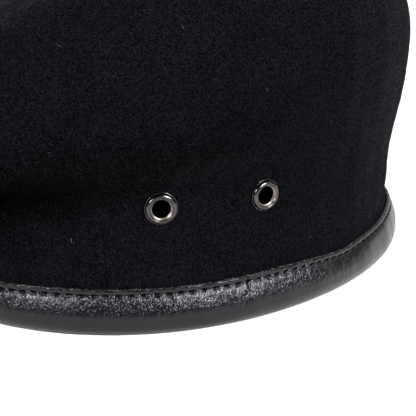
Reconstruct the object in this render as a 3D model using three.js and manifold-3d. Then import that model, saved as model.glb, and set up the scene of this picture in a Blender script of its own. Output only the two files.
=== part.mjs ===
// A military beret of black wool felt with a leather-bound head opening and two metal vent eyelets.
// Millimetres, +Z up. It stands on its binding with the head opening down. The crown drapes towards
// -X, stands tall on the +X side, and has its eyelets in the wall that faces -Y.
import * as THREE from "three";
import { mergeVertices } from "three/addons/utils/BufferGeometryUtils.js";
import Module from "manifold-3d";

// Driving dimensions
const OPENING_RADIUS = 93.6; // mean radius of the felt's outer face at the head opening
const OPENING_CENTRE = new THREE.Vector2(15.3, 3); // puts the middle of the whole beret on the origin
const FELT = 2.5; // thickness of the felt
const GAP = 0.3; // between pieces that lie against each other
const HEM_UP = 3.4; // the felt's lower edge, inside the fold of the binding
const BAND_UP = 10; // the felt stands upright from the hem to here
const EDGE_UP = 16; // and starts to lean in from here
const EDGE_OUT = 0.3;

// Slow waves in the outline of the head opening: each has this many lobes, and one points to heading
const OPENING_WAVES = [
  { lobes: 2, size: 3.9, heading: 83 },
  { lobes: 3, size: 1.0, heading: 38 },
  { lobes: 4, size: 1.4, heading: -12 },
];

// Sections of the crown at headings in degrees from +X towards +Y. Out is measured from the outline of
// the opening and up from the floor: the neck above the binding, the flare over it, the bulge of the
// wall, the shoulder where the wall turns into the top, and the deck, which is the top's outer ring.
const SECTION_COLUMNS = [
  "heading",
  ...["neckOut", "neckUp", "flareOut", "flareUp", "bulgeOut", "bulgeUp"],
  ...["shoulderOut", "shoulderUp", "deckOut", "deckUp"],
];
const CROWN_SECTIONS = table(SECTION_COLUMNS, [
  [200, -5, 23, 16, 22, 42, 30, 30, 52, -24, 70],
  [236, -8, 33, 13, 37, 30, 47, 27, 68, -16, 87],
  [272, -7, 46, 5, 49, 13, 64, 12, 97, -16, 112],
  [308, -6, 40, 2, 53, 9, 73, 6, 102, -20, 116],
  [344, -3, 18, 0.8, 41, 5.6, 69, 0, 94, -22, 112],
  [20, -3, 20, 0.8, 41, 5.6, 69, 0, 94, -22, 112],
  [56, -4, 30, 2, 50, 9, 73, 4, 101, -22, 114],
  [92, -6, 38, 3, 50, 13, 67, 10, 96, -20, 111],
  [128, -6, 31, 9, 38, 25, 49, 20, 76, -20, 95],
  [164, -5, 25, 14, 25, 38, 36, 28, 59, -24, 78],
]);
const SECTION_STEP = 360 / CROWN_SECTIONS.length; // degrees from one section to the next
const TOP_CENTRE = new THREE.Vector3(16, 0, 108); // from the centre of the opening
const TOP_RADIUS = 26; // the ring round the top's centre
const TOP_RISE = 0.16; // the top climbs by this much for each millimetre towards +X

// Folds and dents of the felt: station counts the rings up the crown, from 0 at the hem to 9 at the
// top's centre. Reach is half the width, in degrees and in stations. Swell is out, or in if negative.
const FOLDS = table(["heading", "reach", "station", "stationReach", "swell"], [
  [196, 55, 7.2, 1.0, -5.0], // the hollow where the top sinks towards the drape
  [20, 60, 7.0, 0.8, -2.0], // the shallow dish of the tall side
  [222, 9, 3.6, 0.9, -3.0], // three tucks where the drape folds over the neck
  [196, 8, 3.5, 0.9, 2.5],
  [172, 10, 3.6, 0.9, -3.0],
  [150, 16, 5.6, 0.8, -3.0], // a dent in the rear shoulder
  [-5, 45, 2.0, 0.6, -1.0], // the wall leans in over the binding on the tall side
]);

// Height of the binding's upper edge at headings round the opening
const BINDING_EDGE = table(["heading", "up"], [
  [-90, 14.0],
  [-45, 12.9],
  [0, 11.2],
  [45, 11.0],
  [90, 12.2],
  [135, 12.2],
  [180, 12.4],
  [225, 13.4],
]);
const BINDING_STEP = 360 / BINDING_EDGE.length;
const LIP = 1.6; // from the stitch line up to the raw edge
const LEATHER = 0.8;
const INNER_LEG_UP = 12;
// The padded roll of the binding, from the floor to the stitch line: out from the outline of the
// opening, and rise as a share of the way up
const ROLL = table(["out", "rise"], [
  [1.0, 0],
  [1.85, 0.08],
  [2.5, 0.24],
  [2.75, 0.4],
  [2.64, 0.55],
  [2.22, 0.7],
  [1.6, 0.84],
]);
const STITCH_OUT = 0.75;

// Vent eyelets: where they sit, and the metal
const EYELETS = table(["number", "heading", "up"], [
  [1, -82.6, 36.4],
  [2, -62.4, 36.2],
]);
const EYELET_RIM = 4.85; // outer radius of the flange
const EYELET_BORE = 2.9; // radius of the vent hole
const EYELET_WALL = 0.4;
const EYELET_DOME = 1.35; // how far the flange stands off the felt
const CLINCH_REACH = 0.9; // how far the barrel's end is rolled out behind the washer
const WASHER = 0.5;

const AROUND = 64; // sides of every ring
const RINGS_PER_STATION = 8 / 3;
const EYELET_SIDES = 20;

const wasm = await Module();
wasm.setup();

// Rows of bare numbers under named columns
function table(columns, rows) {
  return rows.map((row) => Object.fromEntries(columns.map((name, i) => [name, row[i]])));
}

const radians = THREE.MathUtils.degToRad;

// Weights of four neighbouring control values in a uniform cubic B-spline
function splineWeights(f) {
  return [
    (1 - f) ** 3 / 6,
    (3 * f ** 3 - 6 * f ** 2 + 4) / 6,
    (-3 * f ** 3 + 3 * f ** 2 + 3 * f + 1) / 6,
    f ** 3 / 6,
  ];
}

// A column of a table that runs round the opening, blended smoothly from row to row
function blendRound(rows, step, column, angle) {
  const turns = (THREE.MathUtils.radToDeg(angle) - rows[0].heading) / step;
  const start = Math.floor(turns);
  const value = (i) => rows[THREE.MathUtils.euclideanModulo(i, rows.length)][column];
  return splineWeights(turns - start).reduce((sum, w, k) => sum + w * value(start - 1 + k), 0);
}

function openingRadius(angle) {
  const wave = (w) => w.size * Math.cos(w.lobes * (angle - radians(w.heading)));
  return OPENING_WAVES.reduce((radius, w) => radius + wave(w), OPENING_RADIUS);
}

// A point at a heading round the opening, this far out from its outline
function pointAt(angle, out, up) {
  const radius = openingRadius(angle) + out;
  return new THREE.Vector3(radius * Math.cos(angle), radius * Math.sin(angle), up);
}

// The control points of the crown's section at one heading, from the hem to the top's centre
function crownControls(angle) {
  const at = (column) => blendRound(CROWN_SECTIONS, SECTION_STEP, column, angle);
  const ring = (name) => pointAt(angle, at(name + "Out"), at(name + "Up"));
  const top = new THREE.Vector3(Math.cos(angle), Math.sin(angle), TOP_RISE * Math.cos(angle));
  return [
    pointAt(angle, 0, HEM_UP),
    pointAt(angle, 0, BAND_UP),
    pointAt(angle, EDGE_OUT, EDGE_UP),
    ...["neck", "flare", "bulge", "shoulder", "deck"].map(ring),
    top.multiplyScalar(TOP_RADIUS).add(TOP_CENTRE),
    TOP_CENTRE.clone(),
  ];
}
const STATIONS = 9; // spans between those control points

// The felt's outer face before its folds
function smoothPoint(angle, station) {
  const controls = crownControls(angle);
  const beyond = (end, next) => end.clone().multiplyScalar(2).sub(next);
  controls.unshift(beyond(controls[0], controls[1]));
  controls.push(beyond(controls.at(-1), controls.at(-2)));
  const start = Math.min(Math.floor(station), STATIONS - 1);
  return splineWeights(station - start).reduce(
    (sum, w, k) => sum.addScaledVector(controls[start + k], w),
    new THREE.Vector3(),
  );
}

function outwardNormal(angle, station) {
  const step = 0.01;
  const at = Math.min(Math.max(station, step), STATIONS - 2 * step);
  const round = smoothPoint(angle + step, at).sub(smoothPoint(angle - step, at));
  const upward = smoothPoint(angle, at + step).sub(smoothPoint(angle, at - step));
  return round.cross(upward).normalize();
}

// How far the folds move the felt at a place, a smooth hill or hollow for each
function foldSwell(angle, station) {
  return FOLDS.reduce((sum, fold) => {
    const turn = THREE.MathUtils.euclideanModulo(angle - radians(fold.heading) + Math.PI, 2 * Math.PI);
    const across = (turn - Math.PI) / radians(fold.reach);
    const along = (station - fold.station) / fold.stationReach;
    return sum + fold.swell * Math.exp(-across * across - along * along);
  }, 0);
}

// A point of the felt, this deep under its outer face
function crownPoint(angle, station, depth = 0) {
  const swell = foldSwell(angle, station) - depth;
  return smoothPoint(angle, station).addScaledVector(outwardNormal(angle, station), swell);
}

// The station where the wall of the crown reaches a height, below the bulge
function stationAtHeight(angle, up) {
  let low = 0;
  let high = 4;
  for (let i = 0; i < 30; i++) {
    const middle = (low + high) / 2;
    if (crownPoint(angle, middle).z < up) low = middle;
    else high = middle;
  }
  return low;
}

// A closed mesh from rings of points of equal count. Neighbouring rings are joined, and where the last
// ring doesn't meet the first, each end is a single point.
function meshOfRings(rings, closed) {
  const positions = rings.flat().flatMap((p) => p.toArray());
  const starts = [];
  rings.reduce((count, ring) => starts.push(count) && count + ring.length, 0);
  const index = [];
  const joins = closed ? rings.length : rings.length - 1;
  for (let r = 0; r < joins; r++) {
    const next = (r + 1) % rings.length;
    const vertex = (ring, i) => starts[ring] + (i % rings[ring].length);
    for (let i = 0; i < AROUND; i++) {
      if (rings[r].length > 1) index.push(vertex(r, i), vertex(r, i + 1), vertex(next, i));
      if (rings[next].length > 1) index.push(vertex(r, i + 1), vertex(next, i + 1), vertex(next, i));
    }
  }
  const geometry = new THREE.BufferGeometry();
  geometry.setAttribute("position", new THREE.Float32BufferAttribute(positions, 3));
  geometry.setIndex(index);
  return geometry;
}

function ringOf(pointAtAngle) {
  return Array.from({ length: AROUND }, (_, i) => pointAtAngle((i * 2 * Math.PI) / AROUND));
}

function solidOf(geometry) {
  const bare = geometry.clone();
  bare.deleteAttribute("normal");
  bare.deleteAttribute("uv");
  const merged = mergeVertices(bare);
  return new wasm.Manifold(
    new wasm.Mesh({
      numProp: 3,
      vertProperties: merged.attributes.position.array,
      triVerts: new Uint32Array(merged.index.array),
    }),
  );
}

function geometryOf(solid) {
  const mesh = solid.getMesh();
  const geometry = new THREE.BufferGeometry();
  geometry.setAttribute("position", new THREE.Float32BufferAttribute(mesh.vertProperties, mesh.numProp));
  geometry.setIndex(new THREE.BufferAttribute(mesh.triVerts, 1));
  return geometry;
}

// Materials
function felt() {
  return new THREE.MeshStandardMaterial({ color: 0x17171a, roughness: 0.95, metalness: 0 });
}

function leather() {
  return new THREE.MeshStandardMaterial({ color: 0x26272a, roughness: 0.45, metalness: 0 });
}

function nickel() {
  return new THREE.MeshStandardMaterial({ color: 0x6f6c69, roughness: 0.2, metalness: 1 });
}

// The place of an eyelet on the felt: the middle of its flange's underside, the direction that it
// faces, and the grip from there through the felt to its innermost point under the flange
function eyeletSeat(eyelet) {
  const angle = radians(eyelet.heading);
  const centre = crownPoint(angle, stationAtHeight(angle, eyelet.up));
  const turn = EYELET_RIM / openingRadius(angle);
  const underRim = (side, rise, depth) => {
    const heading = angle + side * turn;
    return crownPoint(heading, stationAtHeight(heading, eyelet.up + rise * EYELET_RIM), depth);
  };
  const across = underRim(1, 0, 0).sub(underRim(-1, 0, 0));
  const upward = underRim(0, 1, 0).sub(underRim(0, -1, 0));
  const normal = across.cross(upward).normalize();
  const sides = Array.from({ length: EYELET_SIDES }, (_, i) => (i * 2 * Math.PI) / EYELET_SIDES);
  const heights = (depth) =>
    sides.map((a) => underRim(Math.cos(a), Math.sin(a), depth).sub(centre).dot(normal));
  const outermost = Math.max(0, ...heights(0));
  const innermost = Math.min(-FELT, ...heights(FELT));
  return {
    point: centre.clone().addScaledVector(normal, outermost),
    normal,
    grip: outermost - innermost,
  };
}

function seatOn(object, seat) {
  object.position.copy(seat.point);
  object.quaternion.setFromUnitVectors(new THREE.Vector3(0, 1, 0), seat.normal);
  return object;
}

// The felt shell, with vent holes: down its inner face from the top to the hem, and up its outer face
function makeCrown() {
  const steps = STATIONS * RINGS_PER_STATION;
  const face = (depth) => [
    ...Array.from({ length: steps }, (_, i) =>
      ringOf((angle) => crownPoint(angle, i / RINGS_PER_STATION, depth)),
    ),
    [crownPoint(0, STATIONS, depth)],
  ];
  const shell = meshOfRings([...face(FELT).reverse(), ...face(0)], false);
  let solid = solidOf(shell);
  for (const eyelet of EYELETS) {
    const drill = new THREE.CylinderGeometry(
      EYELET_BORE + EYELET_WALL + GAP,
      EYELET_BORE + EYELET_WALL + GAP,
      6 * FELT,
      EYELET_SIDES,
    );
    const placed = seatOn(new THREE.Object3D(), eyeletSeat(eyelet));
    placed.updateMatrix();
    solid = solid.subtract(solidOf(drill.applyMatrix4(placed.matrix)));
  }
  return new THREE.Mesh(geometryOf(solid), felt());
}

// The leather strip folded round the hem: a padded roll outside, a flat lip above the stitch line,
// and a plain leg inside. It follows the felt at the gap.
function makeBinding() {
  const feltPoint = (angle, up, out) => {
    const face = crownPoint(angle, stationAtHeight(angle, up));
    const radius = Math.hypot(face.x, face.y) + out;
    return new THREE.Vector3(radius * Math.cos(angle), radius * Math.sin(angle), up);
  };
  const edgeUp = (angle) => blendRound(BINDING_EDGE, BINDING_STEP, "up", angle);
  const stitchUp = (angle) => edgeUp(angle) - LIP;
  const inside = -FELT - GAP;
  const section = [
    ...ROLL.map((row) => (angle) => pointAt(angle, row.out, row.rise * stitchUp(angle))),
    (angle) => pointAt(angle, STITCH_OUT, stitchUp(angle)),
    (angle) => feltPoint(angle, stitchUp(angle) + LIP / 3, GAP + LEATHER),
    (angle) => feltPoint(angle, edgeUp(angle), GAP + LEATHER),
    (angle) => feltPoint(angle, edgeUp(angle), GAP),
    (angle) => feltPoint(angle, BAND_UP - 2, GAP),
    (angle) => pointAt(angle, GAP, HEM_UP - GAP),
    (angle) => pointAt(angle, inside, HEM_UP - GAP),
    (angle) => pointAt(angle, inside, BAND_UP - 2),
    (angle) => feltPoint(angle, INNER_LEG_UP, inside),
    (angle) => feltPoint(angle, INNER_LEG_UP, inside - LEATHER),
    (angle) => pointAt(angle, inside - LEATHER, BAND_UP - 2),
    (angle) => pointAt(angle, inside - LEATHER, LEATHER),
    (angle) => pointAt(angle, inside, 0),
  ];
  return new THREE.Mesh(meshOfRings(section.map(ringOf), true), leather());
}

// A turned ring: the profile holds radius and height above the felt, and closes on itself
function turned(profile) {
  const points = [...profile, profile[0]].map(([radius, up]) => new THREE.Vector2(radius, up));
  return new THREE.LatheGeometry(points, EYELET_SIDES);
}

// The domed flange, its barrel through the felt, and the barrel's end rolled out behind the washer
function makeEyelet(grip) {
  const outside = EYELET_BORE + EYELET_WALL;
  const behind = -(grip + GAP + WASHER + GAP);
  const profile = [
    [EYELET_RIM, GAP],
    [EYELET_RIM, GAP + 0.25],
    [EYELET_RIM - 0.35, 0.75],
    [EYELET_RIM - 0.8, 1.2],
    [EYELET_RIM - 1.2, EYELET_DOME],
    [EYELET_BORE + 0.35, 1.1],
    [EYELET_BORE, 0.5],
    [EYELET_BORE, behind],
    [EYELET_BORE + 0.3, behind - 0.6],
    [outside + CLINCH_REACH, behind - 0.6],
    [outside + CLINCH_REACH, behind],
    [outside, behind],
    [outside, GAP],
  ];
  return new THREE.Mesh(turned(profile), nickel());
}

function makeWasher(grip) {
  const bore = EYELET_BORE + EYELET_WALL + GAP;
  const front = -(grip + GAP);
  const profile = [
    [bore, front],
    [bore, front - WASHER],
    [EYELET_RIM, front - WASHER],
    [EYELET_RIM, front],
  ];
  return new THREE.Mesh(turned(profile), nickel());
}

function named(name, mesh) {
  mesh.name = name;
  return mesh;
}

const beret = new THREE.Group();
beret.position.set(OPENING_CENTRE.x, OPENING_CENTRE.y, 0);
beret.add(named("crown", makeCrown()), named("leather_binding", makeBinding()));
for (const eyelet of EYELETS) {
  const seat = eyeletSeat(eyelet);
  beret.add(seatOn(named("eyelet_" + eyelet.number, makeEyelet(seat.grip)), seat));
  beret.add(seatOn(named("washer_" + eyelet.number, makeWasher(seat.grip)), seat));
}

export default beret;
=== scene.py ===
"""The looks of a black wool beret: napped felt, a creased leather binding, and two nickel vent eyelets.

Sizes and tables are in millimetres and repeat those of the solid part, so that every piece falls in
its place. Meshes are made in millimetres too, and scaled to metres as they are built.
"""
import math

import bpy
import numpy as np
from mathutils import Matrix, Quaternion, Vector


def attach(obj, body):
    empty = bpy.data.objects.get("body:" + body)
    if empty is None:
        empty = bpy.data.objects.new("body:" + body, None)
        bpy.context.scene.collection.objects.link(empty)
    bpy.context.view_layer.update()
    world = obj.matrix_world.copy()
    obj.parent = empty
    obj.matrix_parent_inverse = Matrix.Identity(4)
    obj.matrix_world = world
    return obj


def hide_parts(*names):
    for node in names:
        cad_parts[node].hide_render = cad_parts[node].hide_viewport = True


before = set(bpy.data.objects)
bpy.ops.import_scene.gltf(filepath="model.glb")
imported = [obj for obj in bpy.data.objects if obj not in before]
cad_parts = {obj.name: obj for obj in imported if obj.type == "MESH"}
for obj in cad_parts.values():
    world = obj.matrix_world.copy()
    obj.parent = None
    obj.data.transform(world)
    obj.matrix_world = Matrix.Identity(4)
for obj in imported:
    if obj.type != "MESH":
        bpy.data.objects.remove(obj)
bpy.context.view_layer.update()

# One millimetre in metres
MM = 0.001

# Driving dimensions, the same as in the solid part
OPENING_RADIUS = 93.6
OPENING_CENTRE = (15.3, 3.0)
FELT = 2.5
GAP = 0.3
HEM_UP = 3.4
BAND_UP = 10.0
EDGE_UP = 16.0
EDGE_OUT = 0.3
STATIONS = 9

# lobes, size, heading
OPENING_WAVES = [(2, 3.9, 83.0), (3, 1.0, 38.0), (4, 1.4, -12.0)]

SECTION_RINGS = ("neck", "flare", "bulge", "shoulder", "deck")
# heading, then out and up of each ring above
CROWN_SECTIONS = [
    (200, -5, 23, 16, 22, 42, 30, 30, 52, -24, 70),
    (236, -8, 33, 13, 37, 30, 47, 27, 68, -16, 87),
    (272, -7, 46, 5, 49, 13, 64, 12, 97, -16, 112),
    (308, -6, 40, 2, 53, 9, 73, 6, 102, -20, 116),
    (344, -3, 18, 0.8, 41, 5.6, 69, 0, 94, -22, 112),
    (20, -3, 20, 0.8, 41, 5.6, 69, 0, 94, -22, 112),
    (56, -4, 30, 2, 50, 9, 73, 4, 101, -22, 114),
    (92, -6, 38, 3, 50, 13, 67, 10, 96, -20, 111),
    (128, -6, 31, 9, 38, 25, 49, 20, 76, -20, 95),
    (164, -5, 25, 14, 25, 38, 36, 28, 59, -24, 78),
]
TOP_CENTRE = (16.0, 0.0, 108.0)
TOP_RADIUS = 26.0
TOP_RISE = 0.16

# heading, reach in degrees, station, reach in stations, swell
FOLDS = [
    (196, 55, 7.2, 1.0, -5.0),
    (20, 60, 7.0, 0.8, -2.0),
    (222, 9, 3.6, 0.9, -3.0),
    (196, 8, 3.5, 0.9, 2.5),
    (172, 10, 3.6, 0.9, -3.0),
    (150, 16, 5.6, 0.8, -3.0),
    (-5, 45, 2.0, 0.6, -1.0),
]

# Folds too fine for the solid part: the pinched crease under the drape, and the tall side's neck
CREASE = [
    (246, 22, 3.4, 0.6, -1.2),
    (215, 22, 3.4, 0.5, -3.2),
    (-8, 40, 4.3, 1.0, -0.35),
    (-8, 40, 3.0, 0.5, 0.7),
    (-8, 40, 1.7, 0.5, -1.0),
]

# Painted shade, darker felt with less sheen and nap, in the crease under the drape and on the deck's
# top-left: heading, reach, station, reach in stations, share
PAINTED_SHADE = [
    (243, 20, 3.2, 0.65, 0.5),
    (250, 17, 3.95, 0.5, 0.35),
    (268, 17, 3.85, 0.55, 0.3),
    (290, 17, 4.1, 0.7, 0.2),
    (248, 18, 4.7, 0.5, 0.25),
    (240, 25, 7.5, 1.0, 0.5),
    (212, 24, 3.3, 0.6, 0.45),
]
# The most painted shade that any place on the felt gets
MOST_PAINTED_SHADE = 0.85
# How much faster the nap thins there than the painted shade darkens the felt
NAP_THINNING = 1.15

# heading, up
BINDING_EDGE = [
    (-90, 14.0), (-45, 12.9), (0, 11.2), (45, 11.0),
    (90, 12.2), (135, 12.2), (180, 12.4), (225, 13.4),
]
LIP = 1.6
LEATHER = 0.8
INNER_LEG_UP = 12.0
# out, share of the way up to the stitch line
ROLL = [
    (1.0, 0.0), (2.3, 0.05), (3.3, 0.15), (3.85, 0.3), (3.85, 0.42),
    (3.62, 0.54), (3.2, 0.65), (2.6, 0.77), (1.85, 0.89), (0.85, 1.0),
]
# The roll's usual height, and how far up the felt's slot runs straight
ROLL_HEIGHT = 12.0
SLOT_UP = BAND_UP - 2.0
STITCH_OUT = 0.75

# heading, up
EYELETS = [(-82.6, 36.4), (-62.4, 36.2)]
EYELET_RIM = 4.85
EYELET_BORE = 2.9
EYELET_WALL = 0.4
WASHER = 0.5
# The barrel's end, rolled out behind the washer: its reach, its thickness and where its bend starts
CLINCH_REACH = 0.9
CLINCH = 0.6
CLINCH_BEND = 0.3
# The hole in the felt is wider than the barrel by this much in radius
VENT_PLAY = 0.1
DRILL_LENGTH = 16.0
# The eyelet's section as radius and height: its flat rim and dome, then the throat
EYELET_FLANGE = [
    (4.8, 0.0), (4.8, 0.1), (4.74, 0.13), (4.62, 0.1), (4.58, 0.2), (4.54, 0.42), (4.44, 0.68),
    (4.26, 0.93), (4.02, 1.1), (3.78, 1.18), (3.58, 1.18), (3.44, 1.1), (3.36, 0.98),
]
EYELET_THROAT = [(3.36, 0.98), (3.26, 0.84), (3.1, 0.68), (2.94, 0.56), (2.8, 0.46), (2.74, 0.34)]
EYELET_BARREL = [(2.74, 0.0), (2.8, -0.9)]

# Size of the felt's wide and narrow unevenness
WIDE_LUMPS = 0.22
NARROW_LUMPS = 0.1

# The wall of the crown lies below this station, and so many halvings find a height on it
WALL_STATION = 4.0
HALVINGS = 16

# Fineness of the meshes
CROWN_AROUND = 480
CROWN_RINGS = 126
INNER_RINGS = 50
BINDING_AROUND = 1900
EYELET_AROUND = 96
FLANGE_POINTS = 44
THROAT_POINTS = 14
STRIP_STEPS = 3000
STITCH_SIDES = 8
# Cells round and up the felt that the nap's roots are spread over
ROOT_CELLS = (180, 135)

# Where the binding's top edge and its stitch line leave their smooth lines:
# heading, reach in degrees, rise
EDGE_SWAYS = [(-114, 9, -0.8), (-62, 9, 0.55), (-42, 6, -0.8), (-14, 14, 0.8), (17, 13, -1.5)]
STITCH_SWAYS = [(-40, 12, 0.2)]

# The photographed view: a camera 450 mm from a point on the floor, 19 degrees above it
VIEW_DISTANCE = 450.0
VIEW_ELEVATION = math.radians(19.0)
VIEW_TARGET = (OPENING_CENTRE[0] + 25.5, OPENING_CENTRE[1] + 12.3)
VIEW_ROLL = math.radians(0.39)
FOCAL_LENGTH = 103.4
SENSOR = 36.0

# Sewing of the binding: how many stitches go round it, where the first is, and one stitch's size
STITCHES = 166
FIRST_STITCH = 146.3
STITCH_LENGTH = 2.2
STITCH_WIDTH = 0.6
STITCH_JITTER = 0.18
# A stitch's place along itself and its thickness there, and how far its ends dip in
STITCH_SHAPE = [
    (-0.5, 0.0), (-0.49, 0.5), (-0.42, 0.88), (-0.25, 1.0),
    (0.25, 1.0), (0.42, 0.88), (0.49, 0.5), (0.5, 0.0),
]
STITCH_DIP = 0.25
# How far along the leather a stitch pulls it in, in stitch lengths
PULL_REACH = 0.42

# Distances along the binding are measured on a line this far outside the head opening's
STRIP_OUT = 1.0
# Where the two ends of the leather strip meet, and about half the width of that groove
JOIN_ALONG = 189.3
JOIN_WIDTH = 0.22

ROLL_ROWS = 30
# Waves along the roll, along its lip and along the lip's cut edge: size and step
ROLL_WAVES = [(0.16, 9.0), (0.1, 4.0)]
LIP_WAVES = [(0.05, 1.5)]
EDGE_WAVES = [(0.08, 0.7), (0.1, 2.4)]
# Bands along the roll that swell or sink: size, then middle and width as shares of the way up
BUCKLES = (0.07, 0.85, 0.14)
PUCKERS = (-0.22, 1.0, 0.05)
PUFFS = (0.08, 0.93, 0.06)
SMOOTH_WAVES = (0.07, 0.75, 0.3)
JOIN_GROOVE = (-0.5, 0.98, 0.25)
BUCKLE_STEP = 2.6
SMOOTH_STEP = 3.2
# Crinkles start at this share of the way up the roll, and are full this much higher
CRINKLE_START = 0.36
CRINKLE_RISE = 0.26
# How much the join sinks into the lip
LIP_JOIN = 0.35
# The share of a stitch's pull on the lip that smooth leather keeps
LEAST_DIP = 0.25
# Shares of the way up the lip that its outer face passes through
LIP_SHARES = (0.24, 0.5, 0.8)
# How dull the smooth leather of the roll and of the lip is, and how far up the roll's underside its
# reflection is dimmed as painted shade where it meets the floor
ROLL_DULL = 0.3
LIP_DULL = 0.45
UNDERSIDE_SHADE_REACH = 0.07

# Small wrinkles that run down the roll from the stitches: spacing and lean, then the least and the
# most of their start, length, width and depth
WRINKLE_SPACING = 0.75
WRINKLE_LEAN = 0.35
WRINKLE_START = (0.0, 4.0)
WRINKLE_LENGTH = (1.5, 6.5)
WRINKLE_WIDTH = (0.3, 0.55)
WRINKLE_DEPTH = (0.015, 0.06)
WRINKLE_REACH = 4.0
# How long they take to reach their depth, and to lose it
WRINKLE_FADES = (0.8, 1.2)
# The share of their depth that smooth leather keeps
LEAST_WRINKLED = 0.04
# Near the join they are deeper: how near, and how many times
JOIN_REACH = 1.5
JOIN_DEEPER = 4.0

# Pale fibres at the cut edge of the lip, their width, and the share of them that smooth leather keeps
EDGE_FIBRES = 6000
EDGE_FIBRE_WIDTH = 0.09
LEAST_FIBRES = 0.15

# How full the roll is at each heading
FULLNESS = [
    (-90, 0.95), (-45, 0.9), (0, 0.62), (45, 0.6),
    (90, 0.8), (135, 0.8), (180, 0.75), (225, 0.75),
]

# How crinkled the roll is at each heading
CRINKLE = [
    (-180, 0.5), (-165, 0.6), (-150, 0.7), (-135, 0.8), (-120, 0.9), (-105, 1.0), (-90, 1.0), (-75, 0.9),
    (-60, 1.0), (-45, 0.75), (-30, 0.1), (-15, 0.0), (0, 0.0), (15, 0.1), (30, 0.3), (45, 0.6),
    (60, 0.8), (75, 0.7), (90, 0.5), (105, 0.7), (120, 0.9), (135, 0.7), (150, 0.5), (165, 0.6),
]

# Nap of the felt: fibres in each piece, their length and width, and how far they stand up
NAPS = [
    ("short_nap", 46000, 0.5, 1.1, 0.06, 0.25),
    ("fine_nap", 46000, 0.3, 0.7, 0.045, 0.7),
    ("long_nap", 16000, 1.0, 2.2, 0.05, 0.35),
]
# A few strands of lint, in the same columns
LINT = ("lint", 90, 1.2, 3.2, 0.09, 0.35)
# How far each fibre stands up at the least
LEAST_LIFT = 0.06
# Distances that the fibres' roots keep from the binding and the eyelets, and their reach over a rim
CLEAR_OF_BINDING = 0.3
CLEAR_OF_EYELET = 0.1
OVER_RIM = 0.2

# Seeds of the random draws
BINDING_SEED = 3
WRINKLE_SEED = 7
EDGE_FIBRE_SEED = 11
LINT_SEED = 21

# Colours
FELT_DARK = (0.0005, 0.0005, 0.0007)
FELT_PALE = (0.0033, 0.0033, 0.0041)
LEATHER_DARK = (0.0012, 0.0012, 0.0015)
LEATHER_PALE = (0.0022, 0.0022, 0.0027)
NICKEL = (0.05, 0.048, 0.048)
WORN_NICKEL = (0.135, 0.115, 0.1)
THREAD_BLACK = (0.0008, 0.0008, 0.001)
CUT_LEATHER = (0.09, 0.09, 0.09)
WOOL_FIBRE = (0.015, 0.015, 0.018)
LINT_PALE = (0.09, 0.085, 0.08)
FLOOR_PALE = (0.7, 0.7, 0.7, 1.0)

# Soft boxes: heading and rise in degrees, distance and size in metres, radiance, what they light
LIGHTS = [
    ("right_box", -40, 30, 1.1, 0.47, 46.0, "all"),
    ("left_box", -134, 30, 1.1, 0.38, 43.0, "all"),
    ("fill_box", -118, 45, 1.2, 0.8, 4.0, "matt"),
    ("rim_box", 38, 24, 1.1, 0.5, 16.5, "matt"),
    ("side_box", 28, 48, 1.1, 1.1, 1.1, "gloss"),
    ("back_box", 90, 50, 1.3, 1.0, 1.5, "gloss"),
    ("haze_box", 66, 10, 1.5, 0.8, 0.75, "gloss"),
]
# The point that they all face, in metres
LIGHTS_AIM = (0.035, -0.03, 0.03)
WORLD_LIGHT = 0.2


def unit(vectors):
    return vectors / np.linalg.norm(vectors, axis=-1, keepdims=True)


def full_turn(count):
    return np.arange(count) * 2 * math.pi / count


def turn_from(heading, angle):
    """The turn from a heading in degrees to each angle, by the shorter way round."""
    return (angle - math.radians(heading) + math.pi) % (2 * math.pi) - math.pi


def bell(value, middle, reach):
    """1 at the middle, and next to nothing two reaches away from it."""
    return np.exp(-(((value - middle) / reach) ** 2))


def spline_weights(f):
    """Weights of the four control points round a place that is a share f of the way past the second."""
    return (
        (1 - f) ** 3 / 6,
        (3 * f**3 - 6 * f**2 + 4) / 6,
        (-3 * f**3 + 3 * f**2 + 3 * f + 1) / 6,
        f**3 / 6,
    )


def blend_round(rows, column, angle):
    """A column of a table that runs round the opening, blended smoothly from row to row."""
    turns = (np.degrees(angle) - rows[0][0]) / (360.0 / len(rows))
    start = np.floor(turns).astype(int)
    values = np.array([row[column] for row in rows], float)
    weights = spline_weights(turns - start)
    return sum(w * values[(start - 1 + k) % len(rows)] for k, w in enumerate(weights))


def opening_radius(angle):
    waves = (size * np.cos(lobes * (angle - math.radians(at))) for lobes, size, at in OPENING_WAVES)
    return OPENING_RADIUS + sum(waves)


def point_at(angle, out, up):
    radius = opening_radius(angle) + out
    up = np.broadcast_to(up, radius.shape)
    return np.stack([radius * np.cos(angle), radius * np.sin(angle), up], -1)


def crown_controls(angle):
    """Control points of the crown's section at each heading, with one beyond each end."""
    rings = [point_at(angle, 0, HEM_UP), point_at(angle, 0, BAND_UP), point_at(angle, EDGE_OUT, EDGE_UP)]
    for k in range(len(SECTION_RINGS)):
        out = blend_round(CROWN_SECTIONS, 1 + 2 * k, angle)
        rings.append(point_at(angle, out, blend_round(CROWN_SECTIONS, 2 + 2 * k, angle)))
    centre = np.array(TOP_CENTRE)
    spoke = np.stack([np.cos(angle), np.sin(angle), TOP_RISE * np.cos(angle)], -1)
    rings.append(centre + TOP_RADIUS * spoke)
    rings.append(np.broadcast_to(centre, spoke.shape))
    rings = [2 * rings[0] - rings[1], *rings, 2 * rings[-1] - rings[-2]]
    return np.array(rings)


def smooth_points(angle, station):
    """Points of the felt's outer face before its folds; angle and station are arrays of one shape."""
    flat = angle.ravel()
    controls = crown_controls(flat)
    start = np.minimum(np.floor(station.ravel()).astype(int), STATIONS - 1)
    weights = spline_weights(station.ravel() - start)
    each = np.arange(flat.size)
    points = sum(w[:, None] * controls[start + k, each] for k, w in enumerate(weights))
    return points.reshape(*angle.shape, 3)


def outward_normals(angle, station):
    step = 0.01
    at = np.clip(station, step, STATIONS - 2 * step)
    around = smooth_points(angle + step, at) - smooth_points(angle - step, at)
    upward = smooth_points(angle, at + step) - smooth_points(angle, at - step)
    return unit(np.cross(around, upward))


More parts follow.
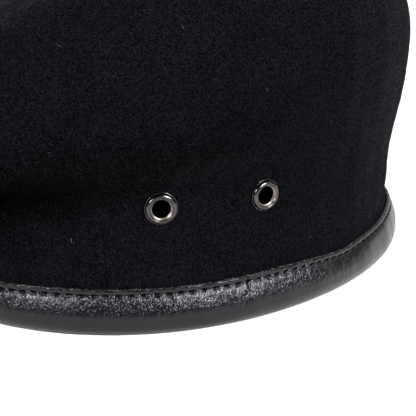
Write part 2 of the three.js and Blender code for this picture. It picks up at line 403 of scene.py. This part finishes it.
def fold_swell(folds, angle, station):
    """How far the folds move the felt outward."""
    total = np.zeros(angle.shape)
    for heading, reach, at, station_reach, swell in folds:
        across = turn_from(heading, angle) / math.radians(reach)
        along = (station - at) / station_reach
        total += swell * np.exp(-across * across - along * along)
    return total


# Share of painted shade at each place: the felt's colour and sheen are dimmed there and its nap is
# thinned
def painted_shade(angle, station):
    return np.clip(fold_swell(PAINTED_SHADE, angle, station), 0, MOST_PAINTED_SHADE)


def crown_points(angle, station, depth=0.0, folds=FOLDS + CREASE):
    swell = fold_swell(folds, angle, station) - depth
    return smooth_points(angle, station) + swell[..., None] * outward_normals(angle, station)


def sways(rows, angle):
    total = np.zeros(angle.shape)
    for heading, reach, rise in rows:
        total += rise * bell(turn_from(heading, angle), 0.0, math.radians(reach))
    return total


def binding_edge(angle):
    return blend_round(BINDING_EDGE, 1, angle) + sways(EDGE_SWAYS, angle)


def stitch_line(angle):
    return binding_edge(angle) - LIP + sways(STITCH_SWAYS, angle)


def station_at_height(angle, up, folds=FOLDS + CREASE):
    """The station where the wall of the crown reaches a height, below the bulge."""
    low = np.zeros(angle.shape)
    high = np.full(angle.shape, WALL_STATION)
    for _ in range(HALVINGS):
        middle = (low + high) / 2
        below = crown_points(angle, middle, 0.0, folds)[..., 2] < up
        low = np.where(below, middle, low)
        high = np.where(below, high, middle)
    return low


def in_metres(points):
    """Points given in millimetres from the middle of the head opening, as places in the part's frame."""
    return (points + np.array([*OPENING_CENTRE, 0.0])) * MM


def build(name, points, faces, material, soft_edge=None):
    """A piece of the beret from points in millimetres, riding on the part's one body.

    faces is a list of arrays, each with one face to a row. Edges sharper than soft_edge degrees
    stay sharp.
    """
    mesh = bpy.data.meshes.new(name)
    placed = in_metres(points)
    corners = np.concatenate([group.ravel() for group in faces])
    counts = np.concatenate([np.full(len(group), group.shape[1]) for group in faces])
    mesh.vertices.add(len(placed))
    mesh.vertices.foreach_set("co", placed.ravel())
    mesh.loops.add(len(corners))
    mesh.loops.foreach_set("vertex_index", corners)
    mesh.polygons.add(len(counts))
    mesh.polygons.foreach_set("loop_start", np.cumsum(counts) - counts)
    mesh.polygons.foreach_set("use_smooth", [True] * len(counts))
    mesh.update(calc_edges=True)
    if soft_edge:
        mesh.set_sharp_from_angle(angle=math.radians(soft_edge))
    mesh.materials.append(material)
    piece = bpy.data.objects.new(name, mesh)
    bpy.context.scene.collection.objects.link(piece)
    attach(piece, "root")
    return piece


def mark(piece, name, values):
    """Keeps a number, or three, at each point of a piece, for its material to read."""
    kind, field = ("FLOAT", "value") if values.ndim == 1 else ("FLOAT_VECTOR", "vector")
    marks = piece.data.attributes.new(name, kind, "POINT")
    marks.data.foreach_set(field, values.ravel())


def ring_faces(rings, around, closed):
    """Quads between neighbouring rings of points; the last ring meets the first where closed."""
    here = np.arange(rings if closed else rings - 1)[:, None]
    above = (here + 1) % rings
    i = np.arange(around)[None, :]
    j = (i + 1) % around
    corners = (here * around + i, here * around + j, above * around + j, above * around + i)
    return np.stack(corners, -1).reshape(-1, 4)


def fan_faces(first, around, pole, outward):
    """Triangles from a ring of points to its pole."""
    i = first + np.arange(around)
    j = first + (np.arange(around) + 1) % around
    ends = (i, j) if outward else (j, i)
    return np.stack([*ends, np.full(around, pole)], -1)


def crown_grid(rings):
    """Headings and stations of the crown's rings of points, without its top's middle point."""
    return np.meshgrid(full_turn(CROWN_AROUND), np.linspace(0, STATIONS, rings, endpoint=False))


def crown_face(rings, depth, seats):
    """Points of the felt's face at a depth, and the point at the middle of its top."""
    angles, stations = crown_grid(rings)
    points = crown_points(angles, stations, depth)
    if depth == 0:
        points += lumps(points, seats)[..., None] * outward_normals(angles, stations)
    return points, crown_points(np.zeros(1), np.full(1, float(STATIONS)), depth)


def make_crown(material, seats):
    outer, outer_top = crown_face(CROWN_RINGS, 0.0, seats)
    inner, inner_top = crown_face(INNER_RINGS, FELT, seats)
    rings = np.concatenate([inner[::-1], outer])
    points = np.concatenate([rings.reshape(-1, 3), inner_top, outer_top])
    last = (len(rings) - 1) * CROWN_AROUND
    faces = [
        ring_faces(len(rings), CROWN_AROUND, False),
        fan_faces(0, CROWN_AROUND, len(points) - 2, False),
        fan_faces(last, CROWN_AROUND, len(points) - 1, True),
    ]
    piece = build("felt_crown", points, faces, material)
    # Painted shade, kept at each point for the felt's material to darken it and dim its sheen
    shade_shares = np.zeros(len(points))
    shade_shares[INNER_RINGS * CROWN_AROUND:-2] = painted_shade(*crown_grid(CROWN_RINGS)).ravel()
    mark(piece, "painted_shade", shade_shares)
    cut_vents(piece, seats)
    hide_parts("crown")


def lumps(points, seats):
    """Soft unevenness of the felt, a few tenths of a millimetre, and none under the eyelets."""
    x, y, z = np.moveaxis(points, -1, 0)
    wide = np.sin(x * 0.21 + 1.3 * np.sin(z * 0.13)) * np.sin(y * 0.19 + z * 0.11 + 1.0)
    narrow = np.sin(x * 0.47 + z * 0.39 + 2.0) * np.sin(y * 0.43 - z * 0.31)
    height = WIDE_LUMPS * wide + NARROW_LUMPS * narrow
    for centre, _, _ in seats:
        away = np.linalg.norm(points - centre, axis=-1)
        height = height * (1 - np.exp(-((away / (1.6 * EYELET_RIM)) ** 4)))
    return height


def cut_vents(piece, seats):
    """Cuts the two vent holes through the felt."""
    radius = (EYELET_BORE + EYELET_WALL + VENT_PLAY) * MM
    depth = DRILL_LENGTH * MM
    for number, (centre, normal, _) in enumerate(seats):
        place = in_metres(centre).tolist()
        bpy.ops.mesh.primitive_cylinder_add(vertices=48, radius=radius, depth=depth, location=place)
        drill = bpy.context.object
        drill.rotation_mode = "QUATERNION"
        drill.rotation_quaternion = Vector(normal.tolist()).to_track_quat("Z", "Y")
        cut = piece.modifiers.new("vent_" + str(number), "BOOLEAN")
        cut.object = drill
        cut.operation = "DIFFERENCE"
        cut.solver = "EXACT"
        bpy.context.view_layer.objects.active = piece
        bpy.ops.object.modifier_apply(modifier=cut.name)
        bpy.data.objects.remove(drill)


def fibres(roots, directions, lengths, width):
    """Closed three-sided spikes, one for each root."""
    count = len(roots)
    other = np.where(np.abs(directions[:, 2:]) < 0.9, [[0.0, 0.0, 1.0]], [[1.0, 0.0, 0.0]])
    side = unit(np.cross(directions, other))
    up = np.cross(directions, side)
    points = []
    for k in range(3):
        turn = 2 * math.pi * k / 3
        points.append(roots + width / 2 * (math.cos(turn) * side + math.sin(turn) * up))
    points.append(roots + lengths[:, None] * directions)
    points = np.stack(points, 1).reshape(-1, 3)
    corners = np.array([(0, 1, 3), (1, 2, 3), (2, 0, 3), (0, 2, 1)])
    faces = (np.arange(count)[:, None, None] * 4 + corners).reshape(-1, 3)
    return points, [faces]


def felt_roots(count, seats, random):
    """Places spread evenly over the felt's outer face, with their normals."""
    cells_round, cells_up = ROOT_CELLS
    turn_step = 2 * math.pi / cells_round
    station_step = STATIONS / cells_up
    stations = np.linspace(0, STATIONS, cells_up, endpoint=False)
    angles, stations = np.meshgrid(full_turn(cells_round), stations)
    corner = crown_points(angles, stations)
    around = crown_points(angles + turn_step, stations) - corner
    upward = crown_points(angles, stations + station_step) - corner
    area = np.linalg.norm(np.cross(around, upward), axis=-1).ravel()
    cell = random.choice(area.size, count, p=area / area.sum())
    angle = angles.ravel()[cell] + random.random(count) * turn_step
    station = stations.ravel()[cell] + random.random(count) * station_step
    roots = crown_points(angle, station)
    normals = outward_normals(angle, station)
    roots += lumps(roots, seats)[:, None] * normals
    clear = roots[:, 2] > binding_edge(angle) + CLEAR_OF_BINDING
    # Fewer nap fibres where shade is painted, so that none stand out pale there
    clear &= random.random(count) > NAP_THINNING * painted_shade(angle, station)
    for centre, _, _ in seats:
        clear &= np.linalg.norm(roots - centre, axis=-1) > EYELET_RIM + CLEAR_OF_EYELET
    return roots[clear], normals[clear]


def make_nap(name, count, shortest, longest, width, lift, material, seats, seed):
    random = np.random.default_rng(seed)
    roots, normals = felt_roots(count, seats, random)
    count = len(roots)
    lying = unit(np.cross(normals, unit(random.normal(size=(count, 3)))))
    raised = random.random(count)[:, None] * lift
    directions = unit(lying + (LEAST_LIFT + raised) * normals)
    lengths = shortest + (longest - shortest) * random.random(count) ** 2
    for centre, _, _ in seats:
        away = np.linalg.norm(roots - centre, axis=-1)
        lengths = np.minimum(lengths, away - EYELET_RIM + OVER_RIM)
    points, faces = fibres(roots, directions, lengths, width)
    build(name, points, faces, material)


def smooth_curve(rows, count):
    """A curve through the rows' points, as count points."""
    points = np.array([rows[0], *rows, rows[-1]], float)
    places = np.linspace(0, len(rows) - 1, count)
    start = np.minimum(places.astype(int), len(rows) - 2)
    f = (places - start)[:, None]
    a, b, c, d = (points[start + k] for k in range(4))
    curve = 2 * b + (c - a) * f
    curve += (2 * a - 5 * b + 4 * c - d) * f**2
    curve += (3 * b - a - 3 * c + d) * f**3
    return curve / 2


def felt_radius(angle, up):
    face = crown_points(angle, station_at_height(angle, up))
    return np.hypot(face[..., 0], face[..., 1])


def strip_line(count):
    """Headings round the binding, the distance along it to each, and its whole length."""
    angle = full_turn(count) - math.pi
    radius = opening_radius(angle) + STRIP_OUT
    x = radius * np.cos(angle)
    y = radius * np.sin(angle)
    steps = np.hypot(np.roll(x, -1) - x, np.roll(y, -1) - y)
    along = np.cumsum(steps) - steps
    return angle, along, steps.sum()


def wander(along, length, step, random):
    """Smooth random values from -1 to 1 that change about every step, and close up round the binding."""
    count = max(4, round(length / step))
    values = random.uniform(-1, 1, count)
    place = along / length * count
    start = np.floor(place).astype(int)
    f = place - start
    f = f * f * (3 - 2 * f)
    return values[start % count] * (1 - f) + values[(start + 1) % count] * f


def waves(rows, along, length, random):
    """A sum of such wandering values, from rows of a size and a step."""
    return sum(size * wander(along, length, step, random) for size, step in rows)


def stitch_places(length):
    """The distance along the binding to the middle of each stitch."""
    random = np.random.default_rng(STITCHES)
    even = FIRST_STITCH + np.arange(STITCHES) * length / STITCHES
    return (even + random.uniform(-STITCH_JITTER, STITCH_JITTER, STITCHES)) % length


def far_from(along, places, length):
    """How far each point along the binding is from the nearest of some places."""
    gap = np.abs(along[:, None] - places[None, :])
    return np.minimum(gap, length - gap).min(1)


def wrinkle_depth(along, length, across):
    """Depth of the small wrinkles that run down the roll; across is how far up its face each row is."""
    random = np.random.default_rng(WRINKLE_SEED)
    fade_in, fade_out = WRINKLE_FADES
    depth = np.zeros(across.shape)
    for _ in range(round(length / WRINKLE_SPACING)):
        at = random.uniform(0, length)
        lean = random.normal(0.0, WRINKLE_LEAN)
        start = random.uniform(*WRINKLE_START)
        end = start + random.uniform(*WRINKLE_LENGTH)
        width = random.uniform(*WRINKLE_WIDTH)
        size = random.uniform(*WRINKLE_DEPTH)
        if abs(at - JOIN_ALONG) < JOIN_REACH:
            size *= JOIN_DEEPER
        beside = (along - at + length / 2) % length - length / 2
        near = np.flatnonzero(np.abs(beside) < WRINKLE_REACH)
        down = across[-1, near] - across[:, near]
        fade = np.clip((down - start) / fade_in, 0, 1) * np.clip((end - down) / fade_out, 0, 1)
        depth[:, near] += size * fade * bell(beside[near], lean * down, width)
    return depth


def roll_rows(angle, stitch):
    """Rows of the roll, from its underside to the stitch line, and the way that each row swells.

    Each row has its distance out, its share of the way up and its height at every heading.
    """
    section = smooth_curve(ROLL, ROLL_ROWS)
    top = ROLL[-1][0]
    out = top + (section[:, :1] - top) * blend_round(FULLNESS, 1, angle)
    rise = np.repeat(section[:, 1:], len(angle), 1)
    outward = np.gradient(section[:, 0])
    upward = np.gradient(section[:, 1]) * ROLL_HEIGHT
    size = np.hypot(outward, upward)
    way = (upward / size)[:, None], (-outward / size)[:, None]
    return out, rise, rise * stitch, way


def roll_swell(rise, across, along, length, crinkle, pull, join, random):
    """How far the leather of the roll stands off its plain section."""

    def band(size, middle, width):
        return size * bell(rise, middle, width)

    swell = waves(ROLL_WAVES, along, length, random) * np.sin(math.pi * rise) ** 1.5
    swell += band(*BUCKLES) * wander(along, length, BUCKLE_STEP, random) * crinkle
    swell += band(*PUCKERS) * crinkle * pull
    swell += band(*PUFFS) * crinkle * (1 - pull)
    swell += band(*SMOOTH_WAVES) * wander(along, length, SMOOTH_STEP, random) * (1 - crinkle)
    swell += band(*JOIN_GROOVE) * join
    kept = LEAST_WRINKLED + (1 - LEAST_WRINKLED) * crinkle
    return swell - kept * wrinkle_depth(along, length, across)


def lip_rings(angle, along, length, crinkle, pull, join, random):
    """The lip above the stitches, with its ragged cut edge: radius, height and crinkle of each ring."""
    edge = binding_edge(angle)
    stitch = stitch_line(angle)
    lip = edge - stitch
    ragged = waves(EDGE_WAVES, along, length, random) - LIP_JOIN * join
    dip = pull * (LEAST_DIP + (1 - LEAST_DIP) * crinkle)
    low = stitch + 0.1 * lip
    rings = [
        (opening_radius(angle) + STITCH_OUT + 0.25 - 0.5 * dip, stitch + 0.05, 0.0),
        (felt_radius(angle, low) + GAP + 0.9 * LEATHER - 0.35 * dip, low, 0.1),
    ]
    for share in LIP_SHARES:
        height = stitch + share * lip
        face = felt_radius(angle, height) + GAP + LEATHER + waves(LIP_WAVES, along, length, random)
        rings.append((face - 0.12 * dip * (1 - share) - LIP_JOIN * join, height, 0.12))
    top = felt_radius(angle, edge) + GAP
    rings.append((top + 0.9 * LEATHER - 0.4 * join, edge + ragged - 0.08, 0.15))
    rings.append((top + 0.5 * LEATHER - 0.2 * join, edge + ragged, 0.0))
    rings.append((top, edge + ragged - 0.05, 0.0))
    return rings


def inner_rings(angle):
    """The slot that holds the hem, then the inner leg: radius, height and crinkle of each ring."""
    base = opening_radius(angle)
    inner = base - FELT - GAP
    leg = felt_radius(angle, INNER_LEG_UP) - FELT - GAP
    return [
        (felt_radius(angle, SLOT_UP) + GAP, SLOT_UP, 0.0),
        (base + GAP, HEM_UP - GAP, 0.0),
        (inner, HEM_UP - GAP, 0.0),
        (inner, SLOT_UP, 0.0),
        (leg, INNER_LEG_UP, 0.0),
        (leg - LEATHER, INNER_LEG_UP, 0.0),
        (inner - LEATHER, SLOT_UP, 0.0),
        (inner - LEATHER, LEATHER, 0.0),
        (inner, 0.0, 0.0),
    ]


def make_binding(material):
    angle, along, length = strip_line(BINDING_AROUND)
    random = np.random.default_rng(BINDING_SEED)
    crinkle = np.clip(blend_round(CRINKLE, 1, angle), 0, 1)
    from_stitch = far_from(along, stitch_places(length), length)
    pull = np.exp(-((from_stitch / (PULL_REACH * STITCH_LENGTH)) ** 4))
    join = bell(along, JOIN_ALONG, JOIN_WIDTH)

    out, rise, up, way = roll_rows(angle, stitch_line(angle))
    steps = np.hypot(np.diff(out, axis=0), np.diff(up, axis=0))
    across = np.concatenate([np.zeros((1, len(angle))), np.cumsum(steps, 0)])
    swell = roll_swell(rise, across, along, length, crinkle, pull, join, random)
    radii = list(opening_radius(angle) + out + swell * way[0])
    heights = list(np.maximum(up + swell * way[1], 0.0))
    crinkled = np.clip((rise - CRINKLE_START) / CRINKLE_RISE, 0, 1) * crinkle
    strip = [np.stack([along, a, c], -1) for a, c in zip(across, crinkled)]

    lip = lip_rings(angle, along, length, crinkle, pull, join, random)
    beyond = across[-1].mean() + 1
    for radius, height, share in lip + inner_rings(angle):
        radii.append(radius)
        heights.append(np.broadcast_to(height, radius.shape))
        place = np.broadcast_arrays(along, beyond + 0.1 * len(radii), share)
        strip.append(np.stack(place, -1))

    radius = np.array(radii)
    points = [radius * np.cos(angle), radius * np.sin(angle), np.array(heights)]
    points = np.stack(points, -1).reshape(-1, 3)
    faces = [ring_faces(len(radii), BINDING_AROUND, True)]
    piece = build("binding", points, faces, material, 50)
    mark(piece, "strip", np.concatenate(strip))
    dull_and_shade = np.zeros(radius.shape)
    # Real dullness of the smooth leather, plus painted shade: a dimmed reflection along the roll's
    # underside at the floor
    dull_and_shade[:ROLL_ROWS] = np.clip(bell(rise, 0.0, UNDERSIDE_SHADE_REACH) + ROLL_DULL * (1 - crinkle), 0, 1)
    dull_and_shade[ROLL_ROWS:ROLL_ROWS + len(lip)] = LIP_DULL * (1 - crinkle)
    mark(piece, "dull_and_shade", dull_and_shade.ravel())
    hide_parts("leather_binding")


def heading_at(along):
    """The heading at each distance along the binding."""
    angle, table, length = strip_line(STRIP_STEPS)
    return np.interp(along, np.append(table, length), np.append(angle, angle[0] + 2 * math.pi))


def beside_felt(angle, out, up):
    """Points at a distance out from the head opening, with the ways along the binding and outward."""
    place = point_at(angle, out, up)
    forward = unit(point_at(angle + 0.001, out, up) - place)
    return place, forward, np.cross(forward, [0.0, 0.0, 1.0])


def make_stitches(material):
    """The thread between each two needle holes, a short rounded bar in the groove under the lip."""
    middles = np.sort(stitch_places(strip_line(STRIP_STEPS)[2]))
    angle = heading_at(middles)
    centres, forward, outward = beside_felt(angle, STITCH_OUT + 0.02, stitch_line(angle) + 0.02)
    turn = full_turn(STITCH_SIDES)[:, None]
    points = []
    faces = []
    body = ring_faces(len(STITCH_SHAPE), STITCH_SIDES, False)
    for k, middle in enumerate(centres):
        spokes = np.cos(turn) * np.array([0.0, 0.0, 1.0]) + np.sin(turn) * outward[k]
        for place, thickness in STITCH_SHAPE:
            dip = -STITCH_DIP * (2 * place) ** 2 * outward[k]
            centre = middle + place * STITCH_LENGTH * forward[k] + dip
            points.append(centre + max(thickness, 0.02) * STITCH_WIDTH / 2 * spokes)
        faces.append(body + k * len(STITCH_SHAPE) * STITCH_SIDES)
    build("stitches", np.concatenate(points), [np.concatenate(faces)], material)


def make_cut_fibres(material):
    """The short pale fibres along the raw top edge of the lip."""
    random = np.random.default_rng(EDGE_FIBRE_SEED)
    along = random.uniform(0, strip_line(STRIP_STEPS)[2], EDGE_FIBRES)
    angle = heading_at(along)
    share = LEAST_FIBRES + (1 - LEAST_FIBRES) * blend_round(CRINKLE, 1, angle)
    angle = angle[random.random(EDGE_FIBRES) < share]
    height = binding_edge(angle)
    count = len(angle)
    out = felt_radius(angle, height) - opening_radius(angle) + GAP
    out += LEATHER * random.uniform(0.3, 1.0, count)
    height += random.uniform(-0.15, 0.05, count)
    roots, forward, outward = beside_felt(angle, out, height)
    directions = random.normal(0, 1.1, (count, 1)) * forward
    directions += random.uniform(-0.1, 0.6, (count, 1)) * outward
    directions = unit(directions + np.array([0.0, 0.0, 0.7]))
    lengths = random.uniform(0.15, 0.5, count)
    points, faces = fibres(roots, directions, lengths, EDGE_FIBRE_WIDTH)
    build("cut_edge_fibres", points, faces, material)


def eyelet_seat(heading, up):
    """The middle of the flange's underside, the way it faces, and its grip through the felt."""
    angle = np.array([math.radians(heading)])
    centre = crown_points(angle, station_at_height(angle, up, FOLDS), 0.0, FOLDS)[0]
    turn = EYELET_RIM / opening_radius(angle)

    def under_rim(side, rise, depth):
        at = angle + side * turn
        return crown_points(at, station_at_height(at, up + rise * EYELET_RIM, FOLDS), depth, FOLDS)

    one = np.ones(1)
    across = (under_rim(one, 0, 0) - under_rim(-one, 0, 0))[0]
    upward = (under_rim(0 * one, 1, 0) - under_rim(0 * one, -1, 0))[0]
    normal = unit(np.cross(across, upward))
    sides = full_turn(20)

    def heights(depth):
        return (under_rim(np.cos(sides), np.sin(sides), depth) - centre) @ normal

    outermost = max(0.0, heights(0).max())
    innermost = min(-FELT, heights(FELT).min())
    return centre + outermost * normal, normal, outermost - innermost


def make_eyelets(dark, bright, seats):
    flange = smooth_curve(EYELET_FLANGE, FLANGE_POINTS)
    throat = smooth_curve(EYELET_THROAT, THROAT_POINTS)
    outside = EYELET_BORE + EYELET_WALL
    for number, (centre, normal, grip) in enumerate(seats, 1):
        behind = -(grip + GAP + WASHER + GAP)
        back = np.array([
            (EYELET_BORE, behind), (EYELET_BORE + CLINCH_BEND, behind - CLINCH),
            (outside + CLINCH_REACH, behind - CLINCH), (outside + CLINCH_REACH, behind),
            (outside, behind), (outside, 0.02),
        ])
        profile = np.concatenate([flange, throat[1:], EYELET_BARREL, back])
        side = unit(np.cross([0.0, 0.0, 1.0], normal))
        top = np.cross(normal, side)
        turn = full_turn(EYELET_AROUND)[:, None]
        spokes = np.cos(turn) * side + np.sin(turn) * top
        rings = [centre + radius * spokes + height * normal for radius, height in profile]
        faces = [ring_faces(len(profile), EYELET_AROUND, True)]
        name = "vent_eyelet_" + str(number)
        piece = build(name, np.concatenate(rings), faces, dark, 60)
        piece.data.materials.append(bright)
        kinds = np.zeros(len(profile), int)
        kinds[len(flange) - 1:len(flange) + len(throat) - 2] = 1
        piece.data.polygons.foreach_set("material_index", np.repeat(kinds, EYELET_AROUND))
        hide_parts("eyelet_" + str(number))


# Materials
def new_material(name):
    material = bpy.data.materials.new(name)
    material.use_nodes = True
    tree = material.node_tree
    return material, tree, tree.nodes["Principled BSDF"]


def noise(tree, scale, place, detail=2.0, roughness=0.5, distortion=0.0):
    node = tree.nodes.new("ShaderNodeTexNoise")
    node.inputs["Scale"].default_value = scale
    node.inputs["Detail"].default_value = detail
    node.inputs["Roughness"].default_value = roughness
    node.inputs["Distortion"].default_value = distortion
    tree.links.new(place, node.inputs["Vector"])
    return node.outputs["Fac"]


def ramp(tree, value, stops):
    node = tree.nodes.new("ShaderNodeValToRGB")
    elements = node.color_ramp.elements
    while len(elements) < len(stops):
        elements.new(0.5)
    for element, (place, colour) in zip(elements, stops):
        element.position = place
        element.color = (*colour, 1.0)
    tree.links.new(value, node.inputs["Fac"])
    return node.outputs["Color"]


def bump(tree, height, distance, strength=1.0, normal=None):
    node = tree.nodes.new("ShaderNodeBump")
    node.inputs["Distance"].default_value = distance
    node.inputs["Strength"].default_value = strength
    tree.links.new(height, node.inputs["Height"])
    if normal:
        tree.links.new(normal, node.inputs["Normal"])
    return node.outputs["Normal"]


def maths(tree, operation, first, second=None):
    node = tree.nodes.new("ShaderNodeMath")
    node.operation = operation
    for socket, value in zip(node.inputs, (first, second)):
        if isinstance(value, (int, float)):
            socket.default_value = value
        elif value:
            tree.links.new(value, socket)
    return node.outputs["Value"]


def times(tree, value, factor):
    return maths(tree, "MULTIPLY", value, factor)


def plus(tree, value, more):
    return maths(tree, "ADD", value, more)


def read_mark(tree, name):
    """The output sockets of what mark kept under a name."""
    node = tree.nodes.new("ShaderNodeAttribute")
    node.attribute_name = name
    return node.outputs


def object_place(tree):
    return tree.nodes.new("ShaderNodeTexCoord").outputs["Object"]


def felt_material():
    """Matted wool: a fine speckle under a soft cloudiness, with painted shade that darkens it and takes
    away its sheen in the crease under the drape and at the deck's top-left.
    """
    material, tree, shader = new_material("wool_felt")
    place = object_place(tree)
    fine = noise(tree, 1900.0, place, detail=3.0, roughness=0.6)
    clumps = noise(tree, 420.0, place)
    clouds = noise(tree, 75.0, place, detail=3.0, roughness=0.6)
    # Painted shade: the felt's colour and sheen fall off where this mark is high
    unshaded = maths(tree, "SUBTRACT", 1.0, read_mark(tree, "painted_shade")["Fac"])
    mixed = tree.nodes.new("ShaderNodeVectorMath")
    mixed.operation = "SCALE"
    speckle = ramp(tree, fine, [(0.38, FELT_DARK), (0.66, FELT_PALE)])
    tree.links.new(speckle, mixed.inputs["Vector"])
    cloudy = plus(tree, times(tree, clouds, 0.8), 0.6)
    tree.links.new(times(tree, cloudy, unshaded), mixed.inputs["Scale"])
    tree.links.new(mixed.outputs["Vector"], shader.inputs["Base Color"])
    glow = ramp(tree, fine, [(0.42, (0.0, 0.0, 0.0)), (0.62, (0.072, 0.072, 0.072))])
    # Painted shade takes the sheen away faster than it darkens the colour
    sheen_unshaded = times(tree, unshaded, unshaded)
    tree.links.new(times(tree, sheen_unshaded, glow), shader.inputs["Sheen Weight"])
    shader.inputs["Roughness"].default_value = 1.0
    shader.inputs["Specular IOR Level"].default_value = 0.0
    shader.inputs["Sheen Roughness"].default_value = 0.33
    shader.inputs["Sheen Tint"].default_value = (0.8, 0.82, 0.95, 1.0)
    clumped = bump(tree, clumps, 0.3 * MM, strength=0.4)
    matted = bump(tree, fine, 0.25 * MM, strength=0.7, normal=clumped)
    tree.links.new(matted, shader.inputs["Normal"])
    return material


def plain_material(name, colour, roughness, metallic=0.0, specular=0.5, mottle=0.15):
    """A colour with a slight mottle."""
    material, tree, shader = new_material(name)
    spread = noise(tree, 700.0, object_place(tree))
    low = tuple(c * (1 - mottle) for c in colour)
    high = tuple(c * (1 + mottle) for c in colour)
    tree.links.new(ramp(tree, spread, [(0.35, low), (0.65, high)]), shader.inputs["Base Color"])
    shader.inputs["Roughness"].default_value = roughness
    shader.inputs["Metallic"].default_value = metallic
    shader.inputs["Specular IOR Level"].default_value = specular
    return material


def crinkle_height(tree):
    """Fine creases where the strip mark says: its parts are along, across and how much."""
    parts = tree.nodes.new("ShaderNodeSeparateXYZ")
    tree.links.new(read_mark(tree, "strip")["Vector"], parts.inputs["Vector"])
    along, across, amount = (parts.outputs[name] for name in "XYZ")
    place = tree.nodes.new("ShaderNodeCombineXYZ")
    tree.links.new(along, place.inputs["X"])
    tree.links.new(times(tree, across, 0.45), place.inputs["Y"])
    place = place.outputs["Vector"]
    worms = noise(tree, 1.8, place, detail=1.5, distortion=0.7)
    worms = maths(tree, "ABSOLUTE", maths(tree, "SUBTRACT", worms, 0.5))
    worms = maths(tree, "MINIMUM", times(tree, worms, 5.0), 1.0)
    fine = noise(tree, 3.4, place, roughness=0.55, distortion=0.3)
    height = plus(tree, times(tree, worms, 0.75), times(tree, fine, 0.35))
    return times(tree, height, amount)


def leather_material():
    """Smooth black leather with fine creases, duller where the mark says: real dullness of the smooth
    leather, and painted shade along the roll's underside.
    """
    material, tree, shader = new_material("bound_leather")
    grain = noise(tree, 2200.0, object_place(tree))
    smooth = bump(tree, grain, 0.06 * MM, strength=0.35)
    creased = bump(tree, crinkle_height(tree), 0.08 * MM, normal=smooth)
    tree.links.new(creased, shader.inputs["Normal"])
    spread = noise(tree, 260.0, object_place(tree))
    colour = ramp(tree, spread, [(0.3, LEATHER_DARK), (0.7, LEATHER_PALE)])
    tree.links.new(colour, shader.inputs["Base Color"])
    # Lower and blurrier reflection where this mark is high: dull smooth leather, and painted shade at
    # the roll's underside
    dull_and_shade = read_mark(tree, "dull_and_shade")["Fac"]
    gloss = maths(tree, "SUBTRACT", 0.24, times(tree, dull_and_shade, 0.2))
    tree.links.new(gloss, shader.inputs["Specular IOR Level"])
    tree.links.new(plus(tree, times(tree, dull_and_shade, 0.5), 0.16), shader.inputs["Roughness"])
    shader.inputs["Specular Tint"].default_value = (0.92, 0.94, 1.0, 1.0)
    return material


# The photographed setting
def make_floor():
    bpy.ops.mesh.primitive_plane_add(size=6.0)
    floor = bpy.context.object
    floor.name = "floor"
    material, _, shader = new_material("pale_floor")
    shader.inputs["Base Color"].default_value = FLOOR_PALE
    shader.inputs["Roughness"].default_value = 0.9
    shader.inputs["Specular IOR Level"].default_value = 0.1
    floor.data.materials.append(material)


def make_lights():
    world = bpy.data.worlds.new("studio")
    bpy.context.scene.world = world
    world.use_nodes = True
    background = world.node_tree.nodes["Background"]
    background.inputs["Color"].default_value = (1.0, 1.0, 1.0, 1.0)
    background.inputs["Strength"].default_value = WORLD_LIGHT
    for name, heading, rise, distance, size, radiance, lights_up in LIGHTS:
        data = bpy.data.lights.new(name, "AREA")
        data.shape = "SQUARE"
        data.size = size
        data.energy = radiance * math.pi * size * size
        light = bpy.data.objects.new(name, data)
        turn = math.radians(heading)
        tilt = math.radians(rise)
        level = math.cos(tilt)
        way = Vector((math.cos(turn) * level, math.sin(turn) * level, math.sin(tilt)))
        light.location = Vector(LIGHTS_AIM) + way * distance
        light.rotation_euler = way.to_track_quat("Z", "Y").to_euler()
        light.visible_glossy = lights_up != "matt"
        light.visible_diffuse = lights_up != "gloss"
        bpy.context.scene.collection.objects.link(light)


def make_camera():
    target = Vector((VIEW_TARGET[0] * MM, VIEW_TARGET[1] * MM, 0.0))
    back = Vector((0.0, -math.cos(VIEW_ELEVATION), math.sin(VIEW_ELEVATION)))
    data = bpy.data.cameras.new("camera")
    data.sensor_width = SENSOR
    data.lens = FOCAL_LENGTH
    data.clip_start = 0.01
    data.clip_end = 20.0
    camera = bpy.data.objects.new("camera", data)
    camera.location = target + back * VIEW_DISTANCE * MM
    roll = Quaternion((0.0, 0.0, 1.0), VIEW_ROLL)
    camera.rotation_euler = (back.to_track_quat("Z", "Y") @ roll).to_euler()
    bpy.context.scene.collection.objects.link(camera)
    bpy.context.scene.camera = camera


make_camera()
make_floor()
make_lights()
bpy.context.scene.view_settings.view_transform = "Standard"

nickel = plain_material("dark_nickel", NICKEL, 0.16, metallic=1.0)
worn = plain_material("worn_nickel", WORN_NICKEL, 0.4, metallic=1.0)
seats = [eyelet_seat(heading, up) for heading, up in EYELETS]
make_crown(felt_material(), seats)
make_binding(leather_material())
make_stitches(plain_material("black_thread", THREAD_BLACK, 0.9, specular=0.0))
make_cut_fibres(plain_material("cut_leather_fibres", CUT_LEATHER, 0.8, specular=0.1, mottle=0.8))
make_eyelets(nickel, worn, seats)
fibre = plain_material("wool_fibre", WOOL_FIBRE, 0.8, specular=0.0, mottle=0.8)
for seed, nap in enumerate(NAPS):
    make_nap(*nap, fibre, seats, seed)
make_nap(*LINT, plain_material("pale_lint", LINT_PALE, 0.8), seats, LINT_SEED)
for number in (1, 2):
    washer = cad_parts["washer_" + str(number)]
    washer.data.materials.clear()
    washer.data.materials.append(worn)
